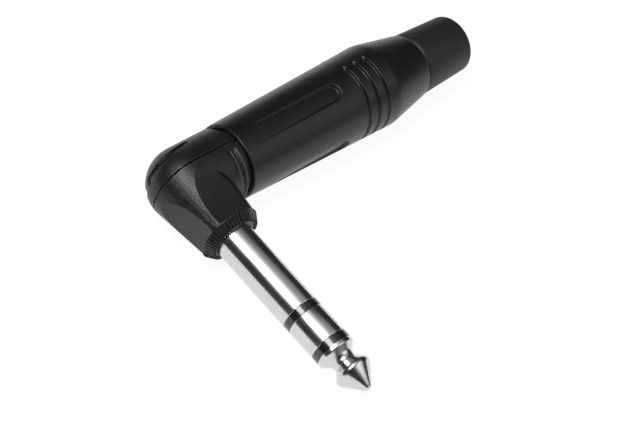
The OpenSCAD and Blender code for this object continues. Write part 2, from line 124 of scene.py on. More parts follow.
def makeGrainGroup(speckStart=0.62, speckGain=6, cellShare=0.35):
    # Fine moulded grain: a height for bump, bright specks, and a slow mottling for tone and gloss
    tree, given, out = groupTree("mouldedGrain", {"Grain Size": 0.00009, "Mottle Size": 0.004},
                                 ("Height", "Mottle", "Speck"))
    coords = tree.nodes.new("ShaderNodeTexCoord").outputs["Object"]
    fine = noiseNode(tree, coords, given.outputs["Grain Size"], 3)
    fine.inputs["Roughness"].default_value = 0.6
    slow = noiseNode(tree, coords, given.outputs["Mottle Size"], 4)
    cells = tree.nodes.new("ShaderNodeTexVoronoi")
    tree.links.new(coords, cells.inputs["Vector"])
    tree.links.new(mathNode(tree, "DIVIDE", 1.0, given.outputs["Grain Size"]), cells.inputs["Scale"])
    pits = mathNode(tree, "MULTIPLY", cells.outputs["Distance"], cellShare)
    speck = mathNode(tree, "SUBTRACT", fine.outputs["Fac"], speckStart)
    tree.links.new(mathNode(tree, "SUBTRACT", fine.outputs["Fac"], pits), out.inputs["Height"])
    tree.links.new(slow.outputs["Fac"], out.inputs["Mottle"])
    tree.links.new(mathNode(tree, "MULTIPLY", speck, speckGain, clamp=True), out.inputs["Speck"])
    return tree


def makeEdgeWearAndHighlightGroup():
    # Painted highlight along convex edges, and worn edges on the inner parts: a mask from the curvature of
    # the mesh, broken up by noise
    tree, given, out = groupTree("edgeWearAndPaintedHighlight", {"Start": 0.53, "Strength": 8.0, "Patch Size": 0.0012},
                                 ("Mask",))
    coords = tree.nodes.new("ShaderNodeTexCoord").outputs["Object"]
    bend = tree.nodes.new("ShaderNodeNewGeometry").outputs["Pointiness"]
    patches = noiseNode(tree, coords, given.outputs["Patch Size"], 5)
    past = mathNode(tree, "SUBTRACT", bend, given.outputs["Start"])
    edge = mathNode(tree, "MULTIPLY", past, given.outputs["Strength"])
    tree.links.new(mathNode(tree, "MULTIPLY", edge, patches.outputs["Fac"], clamp=True), out.inputs["Mask"])
    return tree


def makeTurningGroup():
    # Turned metal: fine rings square to the finger's axis
    tree, given, out = groupTree("turnedRings", {"Axis X": 0.0, "Axis Y": 0.994, "Axis Z": 0.109,
                                                 "Ring Pitch": 0.00012}, ("Height",))
    coords = tree.nodes.new("ShaderNodeTexCoord").outputs["Object"]
    axis = tree.nodes.new("ShaderNodeCombineXYZ")
    for letter in "XYZ":
        tree.links.new(given.outputs["Axis " + letter], axis.inputs[letter])
    along = tree.nodes.new("ShaderNodeVectorMath")
    along.operation = "DOT_PRODUCT"
    tree.links.new(coords, along.inputs[0])
    tree.links.new(axis.outputs[0], along.inputs[1])
    rings = tree.nodes.new("ShaderNodeTexNoise")
    rings.noise_dimensions = "1D"
    rings.inputs["Scale"].default_value = 1
    rings.inputs["Detail"].default_value = 3
    steps = mathNode(tree, "DIVIDE", along.outputs["Value"], given.outputs["Ring Pitch"])
    tree.links.new(steps, rings.inputs["W"])
    tree.links.new(rings.outputs["Fac"], out.inputs["Height"])
    return tree


grainGroup = makeGrainGroup()
edgeWearAndHighlightGroup = makeEdgeWearAndHighlightGroup()
turningGroup = makeTurningGroup()
print("shader groups built")

# Finishes: sizes of grain, mottling, rings and bump are in metres

plastics = {
    "elbowBlack": {"dark": (0.0034, 0.0035, 0.0038), "light": (0.0062, 0.0063, 0.0067),
                   "edge": (0.03, 0.03, 0.031), "rough": (0.35, 0.42), "specular": 0.46,
                   "grain": 0.00026, "bump": 0.000042},
    "barrelBlack": {"dark": (0.0034, 0.0035, 0.0038), "light": (0.0055, 0.0056, 0.0060),
                    "edge": (0.03, 0.03, 0.031), "rough": (0.33, 0.36), "specular": 0.44,
                    "grain": 0.00024, "bump": 0.000028},
    # Painted highlight: the groove lips are coloured far lighter than the elbow, so that they show as bright
    # lines
    "lipPaintedHighlight": {"dark": (0.050, 0.050, 0.052), "light": (0.085, 0.085, 0.088),
                  "edge": (0.12, 0.12, 0.122), "rough": (0.34, 0.42), "specular": 0.5,
                  "grain": 0.00026, "bump": 0.000030},
    "bootRubber": {"dark": (0.0080, 0.0082, 0.0087), "light": (0.0120, 0.0122, 0.0127),
                   "edge": (0.03, 0.03, 0.031), "rough": (0.48, 0.56), "specular": 0.42,
                   "grain": 0.00020, "bump": 0.000018},
    "linerCard": {"dark": (0.48, 0.44, 0.34), "light": (0.62, 0.58, 0.47),
                  "edge": (0.7, 0.66, 0.55), "rough": (0.7, 0.85), "specular": 0.3,
                  "grain": 0.00022, "bump": 0.000015},
    "chuckGrey": {"dark": (0.36, 0.35, 0.32), "light": (0.46, 0.45, 0.42),
                  "edge": (0.58, 0.57, 0.54), "rough": (0.42, 0.55), "specular": 0.5,
                  "grain": 0.00016, "bump": 0.000008},
    "washerBoard": {"dark": (0.13, 0.06, 0.028), "light": (0.23, 0.115, 0.055),
                    "edge": (0.3, 0.18, 0.1), "rough": (0.6, 0.75), "specular": 0.35,
                    "grain": 0.00020, "bump": 0.000014},
}
edgeShare = 0.35   # how far specks, and the painted highlight along convex edges (worn edges on the inner parts), go toward a plastic's edge colour
glosses = {
    "bandBlack": {"dark": (0.006, 0.006, 0.007), "light": (0.012, 0.012, 0.013), "rough": (0.12, 0.20),
                  "grain": 0.0002, "mottle": 0.002, "bump": 0.000001, "specular": 0.9},
}
metals = {
    "fingerNickel": {"dark": (0.58, 0.578, 0.572), "light": (0.68, 0.677, 0.67), "rough": (0.15, 0.20),
                     "pitch": 0.00007, "mottle": 0.003, "bump": 0.00000005},
    "tagTin": {"dark": (0.55, 0.52, 0.44), "light": (0.68, 0.65, 0.58), "rough": (0.25, 0.4),
               "pitch": 0.00020, "mottle": 0.003, "bump": 0.0000020},
}


def newMaterial(name):
    mat = bpy.data.materials.new(name)
    mat.use_nodes = True
    return mat, mat.node_tree, mat.node_tree.nodes["Principled BSDF"]


def placeGroup(tree, group, values):
    node = tree.nodes.new("ShaderNodeGroup")
    node.node_tree = group
    for label, value in values.items():
        node.inputs[label].default_value = value
    return node


def mixColours(tree, factor, a, b):
    mix = tree.nodes.new("ShaderNodeMix")
    mix.data_type = "RGBA"
    tree.links.new(factor, mix.inputs["Factor"])
    for socket, value in ((mix.inputs[6], a), (mix.inputs[7], b)):
        if isinstance(value, tuple):
            socket.default_value = value + (1,)
        else:
            tree.links.new(value, socket)
    return mix.outputs[2]


def spread(tree, value, low, high):
    # Noise keeps mostly between 0.3 and 0.7, and this stretches it over the range asked for
    node = tree.nodes.new("ShaderNodeMapRange")
    node.inputs["From Min"].default_value, node.inputs["From Max"].default_value = 0.3, 0.7
    node.inputs["To Min"].default_value, node.inputs["To Max"].default_value = low, high
    tree.links.new(value, node.inputs["Value"])
    return node.outputs["Result"]


def addBump(tree, shader, height, distance):
    bump = tree.nodes.new("ShaderNodeBump")
    bump.inputs["Strength"].default_value = 1
    bump.inputs["Distance"].default_value = distance
    tree.links.new(height, bump.inputs["Height"])
    tree.links.new(bump.outputs["Normal"], shader.inputs["Normal"])


def plastic(name, s):
    mat, tree, shader = newMaterial(name)
    grain = placeGroup(tree, grainGroup, {"Grain Size": s["grain"]})
    edgeWearAndHighlight = placeGroup(tree, edgeWearAndHighlightGroup, {})
    colour = mixColours(tree, spread(tree, grain.outputs["Mottle"], 0, 1), s["dark"], s["light"])
    # Specks, and a painted highlight along convex edges (worn edges on the inner parts), lighten the colour
    # toward the edge colour
    for mask in (grain.outputs["Speck"], edgeWearAndHighlight.outputs["Mask"]):
        colour = mixColours(tree, mathNode(tree, "MULTIPLY", mask, edgeShare), colour, s["edge"])
    tree.links.new(colour, shader.inputs["Base Color"])
    tree.links.new(spread(tree, grain.outputs["Mottle"], *s["rough"]), shader.inputs["Roughness"])
    shader.inputs["Specular IOR Level"].default_value = s["specular"]
    addBump(tree, shader, grain.outputs["Height"], s["bump"])
    return mat


def glossPlastic(name, s):
    mat, tree, shader = newMaterial(name)
    grain = placeGroup(tree, grainGroup, {"Grain Size": s["grain"], "Mottle Size": s["mottle"]})
    colour = mixColours(tree, spread(tree, grain.outputs["Mottle"], 0, 1), s["dark"], s["light"])
    tree.links.new(colour, shader.inputs["Base Color"])
    tree.links.new(spread(tree, grain.outputs["Mottle"], *s["rough"]), shader.inputs["Roughness"])
    shader.inputs["Specular IOR Level"].default_value = s["specular"]
    addBump(tree, shader, grain.outputs["Height"], s["bump"])
    return mat


def turnedMetal(name, s):
    mat, tree, shader = newMaterial(name)
    rings = placeGroup(tree, turningGroup, {"Ring Pitch": s["pitch"]})
    grain = placeGroup(tree, grainGroup, {"Mottle Size": s["mottle"]})
    colour = mixColours(tree, spread(tree, rings.outputs["Height"], 0, 1), s["dark"], s["light"])
    tree.links.new(colour, shader.inputs["Base Color"])
    tree.links.new(spread(tree, grain.outputs["Mottle"], *s["rough"]), shader.inputs["Roughness"])
    shader.inputs["Metallic"].default_value = 1
    addBump(tree, shader, rings.outputs["Height"], s["bump"])
    return mat


materials = {name: plastic(name, s) for name, s in plastics.items()}
materials.update({name: glossPlastic(name, s) for name, s in glosses.items()})
materials.update({name: turnedMetal(name, s) for name, s in metals.items()})
print("finishes built:", len(materials))

# Mesh helpers


def meshFrom(bm, name):
    mesh = bpy.data.meshes.new(name)
    bm.to_mesh(mesh)
    bm.free()
    return mesh


def linkPiece(name, mesh):
    obj = bpy.data.objects.new(name, mesh)
    bpy.context.scene.collection.objects.link(obj)
    return obj


def shadeByAngle(mesh, degrees):
    bm = bmesh.new()
    bm.from_mesh(mesh)
    limit = math.radians(degrees)
    for face in bm.faces:
        face.smooth = True
    for edge in bm.edges:
        edge.smooth = len(edge.link_faces) == 2 and edge.calc_face_angle(0) < limit
    bm.to_mesh(mesh)
    bm.free()


def mergeDoubles(mesh, turnOut=True):
    bm = bmesh.new()
    bm.from_mesh(mesh)
    bmesh.ops.remove_doubles(bm, verts=bm.verts, dist=1e-7)
    if turnOut:
        bmesh.ops.recalc_face_normals(bm, faces=bm.faces)
    bm.to_mesh(mesh)
    bm.free()


def arcRound(centre, size, start, end, steps):
    # Points (radius, along) of a round stretch of an outline, between two angles in degrees
    angles = [math.radians(start + (end - start) * k / steps) for k in range(steps + 1)]
    return [(centre[0] + size * math.cos(a), centre[1] + size * math.sin(a)) for a in angles]


def softened(corners, steps=4):
    # Rounds the corners of a closed outline with arcs; each corner is (radius, along, rounding)
    out = []
    for i, (r, along, rounding) in enumerate(corners):
        here = Vector((r, along))
        before, after = Vector(corners[i - 1][:2]) - here, Vector(corners[(i + 1) % len(corners)][:2]) - here
        if rounding <= 0:
            out.append((r, along))
            continue
        half = before.angle(after) / 2
        cut = min(rounding / math.tan(half), before.length * 0.49, after.length * 0.49)
        before.normalize()
        after.normalize()
        middle = here + (before + after).normalized() * (cut / math.cos(half))
        arm = here + before * cut - middle
        sweep = arm.angle_signed(here + after * cut - middle)
        out += [tuple(middle + Matrix.Rotation(-sweep * k / steps, 2) @ arm) for k in range(steps + 1)]
    return out


def joinRings(bm, rings, closed=True):
    # Skins each ring of vertices to the next; an open run of rings gets a face at each end
    pairs = list(zip(rings, rings[1:]))
    if closed:
        pairs.append((rings[-1], rings[0]))
    for one, two in pairs:
        count = max(len(one), len(two))
        if count == 1:
            continue
        for k in range(count):
            n = (k + 1) % count
            corners = (one[k % len(one)], one[n % len(one)], two[n % len(two)], two[k % len(two)])
            bm.faces.new(list(dict.fromkeys(corners)))   # a ring of one vertex leaves triangles
    if not closed:
        bm.faces.new(rings[0])
        bm.faces.new(rings[-1])
    bmesh.ops.recalc_face_normals(bm, faces=bm.faces)


def lathe(name, outline, drawing, segments=128, angle=35):
    # Turns a closed outline of (radius, along) round the drawing frame's Z; radius 0 closes on the axis
    turns = [2 * math.pi * k / segments for k in range(segments)]
    bm = bmesh.new()
    rings = [[bm.verts.new((r * math.cos(a), r * math.sin(a), along))
              for a in (turns if r > 1e-6 else turns[:1])] for r, along in outline]
    joinRings(bm, rings)
    mesh = meshFrom(bm, name)
    mesh.transform(drawing)
    shadeByAngle(mesh, angle)
    return linkPiece(name, mesh)


def finishPiece(obj, material, body, slotName, *stoodFor):
    obj.data.materials.clear()
    obj.data.materials.append(materials[material])
    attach(obj, body)
    if stoodFor:
        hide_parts(*stoodFor)


# Geometry Nodes helpers: with fieldTerm, a rule is written as plain arithmetic


class fieldTerm:
    def __init__(self, tree, socket):
        self.tree, self.socket = tree, socket

    def op(self, kind, *others, first=None):
        node = self.tree.nodes.new("ShaderNodeMath")
        node.operation = kind
        terms = (self,) + others if first is None else (first, self)
        for i, value in enumerate(terms):
            if isinstance(value, fieldTerm):
                self.tree.links.new(value.socket, node.inputs[i])
            else:
                node.inputs[i].default_value = value
        return fieldTerm(self.tree, node.outputs[0])

    def __add__(self, other):
        return self.op("ADD", other)

    def __sub__(self, other):
        return self.op("SUBTRACT", other)

    def __rsub__(self, other):
        return self.op("SUBTRACT", first=other)

    def __mul__(self, other):
        return self.op("MULTIPLY", other)

    def __truediv__(self, other):
        return self.op("DIVIDE", other)

    def atLeast(self, other):
        return self.op("MAXIMUM", other)

    def atMost(self, other):
        return self.op("MINIMUM", other)

    def hypot(self, other):
        return (self * self + other * other).op("SQRT")

    def wrap(self, half):
        return self.op("WRAP", half, -half)


def fieldTree(name, inputs):
    # A Geometry Nodes tree with its named sizes; returns the tree, its input node and the sizes as terms
    tree = bpy.data.node_groups.new(name, "GeometryNodeTree")
    face = tree.interface
    face.new_socket(name="Geometry", in_out="INPUT", socket_type="NodeSocketGeometry")
    face.new_socket(name="Geometry", in_out="OUTPUT", socket_type="NodeSocketGeometry")
    face.new_socket(name="Finish", in_out="INPUT", socket_type="NodeSocketMaterial")
    for label, value in inputs.items():
        kind = "NodeSocketInt" if isinstance(value, int) else "NodeSocketFloat"
        face.new_socket(name=label, in_out="INPUT", socket_type=kind).default_value = value
    given = tree.nodes.new("NodeGroupInput")
    return tree, given, {label: fieldTerm(tree, given.outputs[label]) for label in inputs}


def closeTree(tree, given, geometry):
    realize = tree.nodes.new("GeometryNodeRealizeInstances")
    paint = tree.nodes.new("GeometryNodeSetMaterial")
    out = tree.nodes.new("NodeGroupOutput")
    tree.links.new(geometry, realize.inputs[0])
    tree.links.new(realize.outputs[0], paint.inputs["Geometry"])
    tree.links.new(given.outputs["Finish"], paint.inputs["Material"])
    tree.links.new(paint.outputs[0], out.inputs["Geometry"])
    return tree


def runTree(obj, tree, material, inputs, drawing, angle):
    # Runs the tree on a mesh drawn in mm, keeps the result as a plain mesh, and puts it in place
    modifier = obj.modifiers.new("rule", "NODES")
    modifier.node_group = tree
    sockets = {i.name: i.identifier for i in tree.interface.items_tree if i.in_out == "INPUT"}
    modifier[sockets["Finish"]] = materials[material]
    for label, value in inputs.items():
        modifier[sockets[label]] = value
    graph = bpy.context.evaluated_depsgraph_get()
    made = bpy.data.meshes.new_from_object(obj.evaluated_get(graph))
    obj.modifiers.remove(modifier)
    obj.data = made
    made.name = obj.name
    mergeDoubles(made)
    made.transform(drawing)
    shadeByAngle(made, angle)


# Finger: five turned pieces, nose to elbow

finger = {
    "radius": 3.175, "sleeveLength": 15.2, "ringLength": 5.15, "bandWidth": 1.2, "bandRecess": 0.05,
    "ringRecess": 0.02, "wall": 0.45, "gap": 0.02, "edge": 0.14, "segments": 160,
    # The tip: its nose, then its corners as radius, place and rounding
    "noseEnd": -30.5, "noseRound": 0.88, "noseTurn": -38,
    "head": (3.234, -26.894, 0.7), "neck": (1.404, -24.93, 1.05), "shoulder": (3.12, -23.425, 0.35),
    "tipEdge": 0.08,
    # Inside the elbow: the rod and its rivet, the shank and its flange, and where each tube meets its tag
    "rod": 0.8, "rivetRadius": 1.3, "rivetRound": 0.4, "rivet": 0.5,
    "tipTag": 9.8, "ringTag": 8.7, "sleeveTag": 7.6,
    "shank": 3.355, "shankStart": 0.15,
    "flangeRadius": 3.78, "flangePlace": 6.6, "flange": 0.6, "flangeEdges": (0.05, 0.08),
}


def tipOutline(s, back):
    nose = arcRound((0, s["noseEnd"] + s["noseRound"]), s["noseRound"], -90, s["noseTurn"], 6)
    rivetEnd = s["tipTag"] + s["rivet"]
    rest = softened([(*nose[-1], 0), s["head"], s["neck"], s["shoulder"],
                     (s["shoulder"][0], back, s["tipEdge"]), (s["rod"], back, 0),
                     (s["rod"], s["tipTag"], 0), (s["rivetRadius"], s["tipTag"], 0),
                     (s["rivetRadius"], rivetEnd, s["rivetRound"]), (0, rivetEnd, 0)], 6)
    return nose + rest[1:]


def tubeOutline(s, inner, outer, front, back, end, edge=0):
    # A band or ring of the finger, and the thin tube that runs from it into the elbow
    return softened([(inner, front, 0), (outer, front, edge), (outer, back, edge),
                     (inner + s["wall"], back, 0), (inner + s["wall"], end, 0), (inner, end, 0)])


def sleeveOutline(s, inner, front):
    flangeEnd = s["flangePlace"] + s["flange"]
    lowEdge, highEdge = s["flangeEdges"]
    return softened([(inner, front, 0), (s["radius"], front, s["edge"]), (s["radius"], s["shankStart"], 0),
                     (s["shank"], s["shankStart"], 0), (s["shank"], s["flangePlace"], 0),
                     (s["flangeRadius"], s["flangePlace"], lowEdge), (s["flangeRadius"], flangeEnd, highEdge),
                     (inner, flangeEnd, 0)])


def makeFinger(s):
    sleeveFront = -s["sleeveLength"]
    ringBack = sleeveFront - s["bandWidth"]
    ringFront = ringBack - s["ringLength"]
    tipBack = ringFront - s["bandWidth"]
    tipBandIn = s["rod"] + s["gap"]
    ringIn = tipBandIn + s["wall"] + s["gap"]
    ringBandIn = ringIn + s["wall"] + s["gap"]
    sleeveIn = ringBandIn + s["wall"] + s["gap"]
    bandOut, ringOut = s["radius"] - s["bandRecess"], s["radius"] - s["ringRecess"]
    nickel, black = ("fingerNickel", "elbow", "finger_nickel"), ("bandBlack", "elbow", "band_black")
    pieces = {
        "finger_tip": (tipOutline(s, tipBack), nickel, "tip_contact"),
        "finger_tip_band": (tubeOutline(s, tipBandIn, bandOut, tipBack, ringFront, s["ringTag"]),
                            black, "tip_insulator"),
        "finger_ring": (tubeOutline(s, ringIn, ringOut, ringFront, ringBack, s["ringTag"], s["edge"]),
                        nickel, "ring_contact"),
        "finger_ring_band": (tubeOutline(s, ringBandIn, bandOut, ringBack, sleeveFront, s["sleeveTag"]),
                             black, "ring_insulator"),
        "finger_sleeve": (sleeveOutline(s, sleeveIn, sleeveFront), nickel, "plug_sleeve"),
    }
    for name, (outline, finish, node) in pieces.items():
        finishPiece(lathe(name, outline, fingerFrame, s["segments"]), *finish, node)


makeFinger(finger)
print("finger turned")

# Barrel: a turned blank, then thumb panels and shoulder grooves sunk in by one rule

barrel = {
    "front": 8.6, "frontRadius": 6.25, "shoulder": 40.3, "shoulderRadius": 7.2,
    "rear": 49.1, "rearRadius": 5.66, "blend": 6.0, "blendShift": 0.4, "rim": 0.22,
    # The rear edge: out from the rear radius, and ahead of the rear end
    "tail": ((0.02, 0.3), (-0.03, 0.12), (-0.12, 0.03), (-0.25, 0)),
    # The bore from the rear to the front: radius and place
    "bore": ((4.35, 49.1), (4.35, 47.7), (4.85, 47.7), (4.85, 46.2), (4.5, 46.2), (5.55, 37), (5.55, 17.5),
             (5.35, 17), (5.35, 10.6), (5.7, 10.4), (5.7, 8.6)),
    # Rows of the mesh: where each stretch ends, and how far apart its rows lie
    "rows": ((26, 0.5), (30.2, 0.1), (32.4, 0.4), (38.4, 0.07)),
    # Columns of the mesh: over half a thumb panel's floor, over its wall, and over the land beside it
    "columns": (12, 10, 14),
    "inputs": {
        "Panel Floor Radius": 6.32, "Panel Rear": 29.6, "Panel Half Width": 1.65, "Panel Spread": 0.4,
        "Panel Bevel": 0.35, "Panel Turn": math.radians(99), "Panel Slope": 1.45, "Panel Length": 21.0,
        "Groove Start": 33.2, "Groove Pitch": 2.18, "Groove Count": 3, "Groove Width": 0.9,
        "Groove Depth": 0.42, "Groove Wall": 0.34, "Groove Middle": math.radians(144),
        "Groove Half Span": math.radians(71.5),
        "Softness": 0.02, "Skin Radius": 6.0, "Skin Front": 9.0, "Skin Rear": 39.5},
}


def barrelOutline(s):
    slope = (s["shoulderRadius"] - s["frontRadius"]) / (s["shoulder"] - s["front"])
    rearAngle = math.atan2(s["shoulderRadius"] - s["rearRadius"], s["rear"] - s["shoulder"])
    rim = arcRound((s["frontRadius"] - s["rim"], s["front"] + s["rim"]), s["rim"], -90, 0, 5)
    side = []
    start = s["front"] + 0.3
    for end, step in s["rows"]:
        count = round((end - start) / step)
        places = [start + (end - start) * k / count for k in range(count)]
        side += [(s["frontRadius"] + slope * (a - s["front"]), a) for a in places]
        start = end
    centre = (s["shoulderRadius"] - s["blend"], s["shoulder"] - s["blendShift"])
    bend = arcRound(centre, s["blend"], -math.degrees(math.atan(slope)), math.degrees(rearAngle), 14)
    tail = [(s["rearRadius"] + out, s["rear"] - ahead) for out, ahead in s["tail"]]
    cone = [tuple(Vector(bend[-1]).lerp(Vector(tail[0]), k / 10)) for k in range(1, 10)]
    return rim + side + bend + cone + tail + list(s["bore"])


def barrelColumns(s, along, margin=0.06):
    # Angles of the blank's columns at one place, in step with the sides of the panels
    sizes = s["inputs"]
    share = (along - s["front"]) / (s["shoulder"] - s["front"])
    r = s["frontRadius"] + (s["shoulderRadius"] - s["frontRadius"]) * min(max(share, 0), 1)
    centre = sizes["Panel Rear"] - sizes["Panel Half Width"]
    before = min(max((centre - along) / sizes["Panel Length"], 0), 1)
    outer = sizes["Panel Half Width"] + sizes["Panel Spread"] * before
    wallStart, wallEnd = outer - sizes["Panel Bevel"] - margin, outer + margin
    stops = (0, math.asin(wallStart / r), math.asin(wallEnd / r), math.pi / 4)
    angles = []
    for start, end, count in zip(stops, stops[1:], s["columns"]):
        angles += [start + (end - start) * k / count for k in range(count)]
    sector = [-a for a in reversed(angles[1:])] + angles + [math.pi / 4]
    return [a + math.pi / 2 * turn + sizes["Panel Turn"] for turn in range(4) for a in sector]


def panelRadius(t, radius, angle, along):
    # The skin's radius with the thumb panels sunk in, from the distance outside the nearest panel's outline
    side = (angle - t["Panel Turn"]).wrap(math.pi / 4).op("SINE") * radius
    centre = t["Panel Rear"] - t["Panel Half Width"]
    past, before = (along - centre).atLeast(0), (centre - along).atLeast(0)
    outside = past.hypot(side) - t["Panel Half Width"] - before / t["Panel Length"] * t["Panel Spread"]
    wall = t["Panel Floor Radius"] + (outside + t["Panel Bevel"]) * t["Panel Slope"]
    sunk = t["Panel Floor Radius"].op("SMOOTH_MAX", wall, t["Softness"])
    return radius.op("SMOOTH_MIN", sunk, t["Softness"])


def grooveDepth(t, radius, angle, along):
    # How deep the nearest shoulder groove is here, from the distance off its middle line, which ends round
    step = ((along - t["Groove Start"]) / t["Groove Pitch"] + 0.5).op("FLOOR")
    step = step.atLeast(0).atMost(t["Groove Count"] - 1)
    across = along - t["Groove Start"] - step * t["Groove Pitch"]
    pastEnd = (angle - t["Groove Middle"]).wrap(math.pi / 2).op("ABSOLUTE") - t["Groove Half Span"]
    endways = (pastEnd * radius + t["Groove Width"] * 0.5).atLeast(0)
    inside = t["Groove Width"] * 0.5 - across.hypot(endways)
    share = (inside / (t["Groove Width"] * t["Groove Wall"])).atLeast(0).atMost(1)
    return share * share * (3 - share * 2) * t["Groove Depth"]


def barrelRule(inputs):
    tree, given, t = fieldTree("barrelRelief", inputs)
    place = tree.nodes.new("GeometryNodeInputPosition")
    split = tree.nodes.new("ShaderNodeSeparateXYZ")
    tree.links.new(place.outputs[0], split.inputs[0])
    x, y, along = (fieldTerm(tree, split.outputs[i]) for i in range(3))
    radius = x.hypot(y)
    angle = y.op("ARCTAN2", x)
    worked = panelRadius(t, radius, angle, along) - grooveDepth(t, radius, angle, along)
    # Only the outer skin is worked; the bore keeps its shape
    skin = radius.op("GREATER_THAN", t["Skin Radius"]) * along.op("GREATER_THAN", t["Skin Front"])
    skin = skin * along.op("LESS_THAN", t["Skin Rear"])
    factor = (worked / radius - 1) * skin + 1
    join = tree.nodes.new("ShaderNodeCombineXYZ")
    for i, term in enumerate((x * factor, y * factor, along)):
        tree.links.new(term.socket, join.inputs[i])
    setPlace = tree.nodes.new("GeometryNodeSetPosition")
    tree.links.new(given.outputs["Geometry"], setPlace.inputs["Geometry"])
    tree.links.new(join.outputs[0], setPlace.inputs["Position"])
    return closeTree(tree, given, setPlace.outputs[0])


def makeBarrel(s):
    bm = bmesh.new()
    rows = [[bm.verts.new((r * math.cos(a), r * math.sin(a), along)) for a in barrelColumns(s, along)]
            for r, along in barrelOutline(s)]
    joinRings(bm, rows)
    piece = linkPiece("barrel_skin", meshFrom(bm, "barrel_skin"))
    runTree(piece, barrelRule(s["inputs"]), "barrelBlack", s["inputs"], barrelFrame, 50)
    finishPiece(piece, "barrelBlack", "barrel", "barrel_black", "barrel")


makeBarrel(barrel)
print("barrel made")

# Cable boot

boot = {"start": 49.2, "frontRadius": 5.45, "frontEdge": 0.8, "end": 60.7, "endRadius": 5.05, "endEdge": 1.0,
        "bore": 3.2, "stem": 4.3, "bead": 4.75, "beadStart": 46.35, "beadEnd": 47.6,
        # The bore's mouth: out from the bore, and ahead of the end
        "mouth": ((0.35, 0), (0.1, 0.08), (0, 0.3))}


def makeBoot(s):
    outline = [(s["bore"], s["beadStart"]), (s["bead"], s["beadStart"]), (s["bead"], s["beadEnd"]),
               (s["stem"], s["beadEnd"]), (s["stem"], s["start"])]
    front, end = s["frontEdge"], s["endEdge"]
    outline += arcRound((s["frontRadius"] - front, s["start"] + front), front, -90, 0, 8)
    outline += arcRound((s["endRadius"] - end, s["end"] - end), end, 0, 90, 10)
    outline += [(s["bore"] + out, s["end"] - ahead) for out, ahead in s["mouth"]]
    piece = lathe("boot_grip", outline, barrelFrame, 128, 50)
    finishPiece(piece, "bootRubber", "barrel", "boot_rubber", "cable_boot")


makeBoot(boot)
print("boot turned")

# Elbow: the two moulded halves, with the small radius that moulded edges have

mouldedHalves = {
    "elbow_shell": {"node": "elbow_housing", "voxel": 0.000100, "smooth": 4, "keep": 0.48},
    "elbow_cap": {"node": "elbow_cover", "voxel": 0.000085, "smooth": 5, "keep": 0.75},
}
# Grip groove on the finger's side of the neck, with a thin lip along each side, in mm
gripGroove = {"place": 6.75, "apart": 0.55, "radius": 6.1, "depth": 0.17, "wall": 0.2, "gap": 1.25,
              "innerSkin": 5.7, "lip": 0.13, "stand": 0.06, "taper": 14, "endShare": 0.25,
              "steps": 90, "sides": 10}
# Thread on the elbow's tube: one ridge swept along a spiral, with half of its section, out and along
thread = {"cutFrom": 10.5, "start": 10.75, "section": ((-0.12, 0.42), (0.28, 0.1), (0.31, 0.05)),
          "inputs": {"Turns": 4.6, "Pitch": 1.0, "Root Radius": 4.95}}


def threadFloor(p, r):
    # The plain tube goes down to the root of the thread that stands on it
    return thread["inputs"]["Root Radius"] if p.z > thread["cutFrom"] else r


def grooveFloor(p, r):
    # The neck's skin goes down between the lips of its grip groove
    s = gripGroove
    share = min(-max(abs(p.z - s["place"]) - s["apart"], p.x + s["gap"]) / s["wall"], 1)
    return s["radius"] - s["depth"] * share if share > 0 and r > s["innerSkin"] else r


def lowerSkin(mesh, floorRadius):
    # Takes the mesh in toward the barrel's axis wherever the floor's radius is less than the skin's
    back = barrelFrame.inverted()
    for v in mesh.vertices:
        p = back @ v.co
        r = math.hypot(p.x, p.y)
        low = floorRadius(p, r)
        if low < r:
            v.co = barrelFrame @ Vector((p.x * low / r, p.y * low / r, p.z))


def makeMouldedHalf(name, s):
    mesh = nodes[s["node"]].data.copy()
    mesh.name = name
    mergeDoubles(mesh, turnOut=False)
    piece = linkPiece(name, mesh)
    remesh = piece.modifiers.new("even skin", "REMESH")
    remesh.mode = "VOXEL"
    remesh.voxel_size = s["voxel"]
    remesh.use_smooth_shade = True
    soften = piece.modifiers.new("edge radius", "SMOOTH")
    soften.factor = 0.5
    soften.iterations = s["smooth"]
    thin = piece.modifiers.new("fewer faces", "DECIMATE")
    thin.ratio = s["keep"]
    graph = bpy.context.evaluated_depsgraph_get()
    made = bpy.data.meshes.new_from_object(piece.evaluated_get(graph))
    piece.modifiers.clear()
    piece.data = made
    mergeDoubles(made)
    if s["node"] == "elbow_housing":
        lowerSkin(made, threadFloor)
        lowerSkin(made, grooveFloor)
    shadeByAngle(made, 60)
    finishPiece(piece, "elbowBlack", "elbow", "elbow_black", s["node"])
    print(name, len(made.polygons), "faces")


def makeGrooveLips(s):
    # Each lip is a round bar bent round the barrel's axis, thinner toward its ends
    reach = math.acos(s["gap"] / s["radius"])
    bm = bmesh.new()
    for side in (-1, 1):
        rings = []
        for i in range(s["steps"] + 1):
            turn = math.pi - reach + 2 * reach * i / s["steps"]
            thick = s["lip"] * min(1, math.sin(math.pi * i / s["steps"]) * s["taper"] + s["endShare"])
            ring = []
            for k in range(s["sides"]):
                a = 2 * math.pi * k / s["sides"]
                r = s["radius"] - s["lip"] + s["stand"] + thick * math.cos(a)
                ring.append(bm.verts.new((r * math.cos(turn), r * math.sin(turn),
                                          s["place"] + side * s["apart"] + thick * math.sin(a))))
            rings.append(ring)
        joinRings(bm, rings, closed=False)
    mesh = meshFrom(bm, "groove_lips")
    mesh.transform(barrelFrame)
    shadeByAngle(mesh, 50)
    # The lips' finish is a painted highlight, far lighter than the elbow's black
    finishPiece(linkPiece("groove_lips", mesh), "lipPaintedHighlight", "elbow", "elbow_black")


for name, s in mouldedHalves.items():
    makeMouldedHalf(name, s)
makeGrooveLips(gripGroove)
print("elbow's halves and groove lips made")

# Serrated collar: ridges over the face and bevel of the elbow's mouth, one shape instanced all round

collar = {"faceRadius": 4.15, "rimRadius": 5.0, "bevel": 1.4, "offset": 0.2, "innerRadius": 3.62,
          "width": 0.22, "height": 0.2, "root": 0.12, "inputs": {"Tooth Count": 48}}


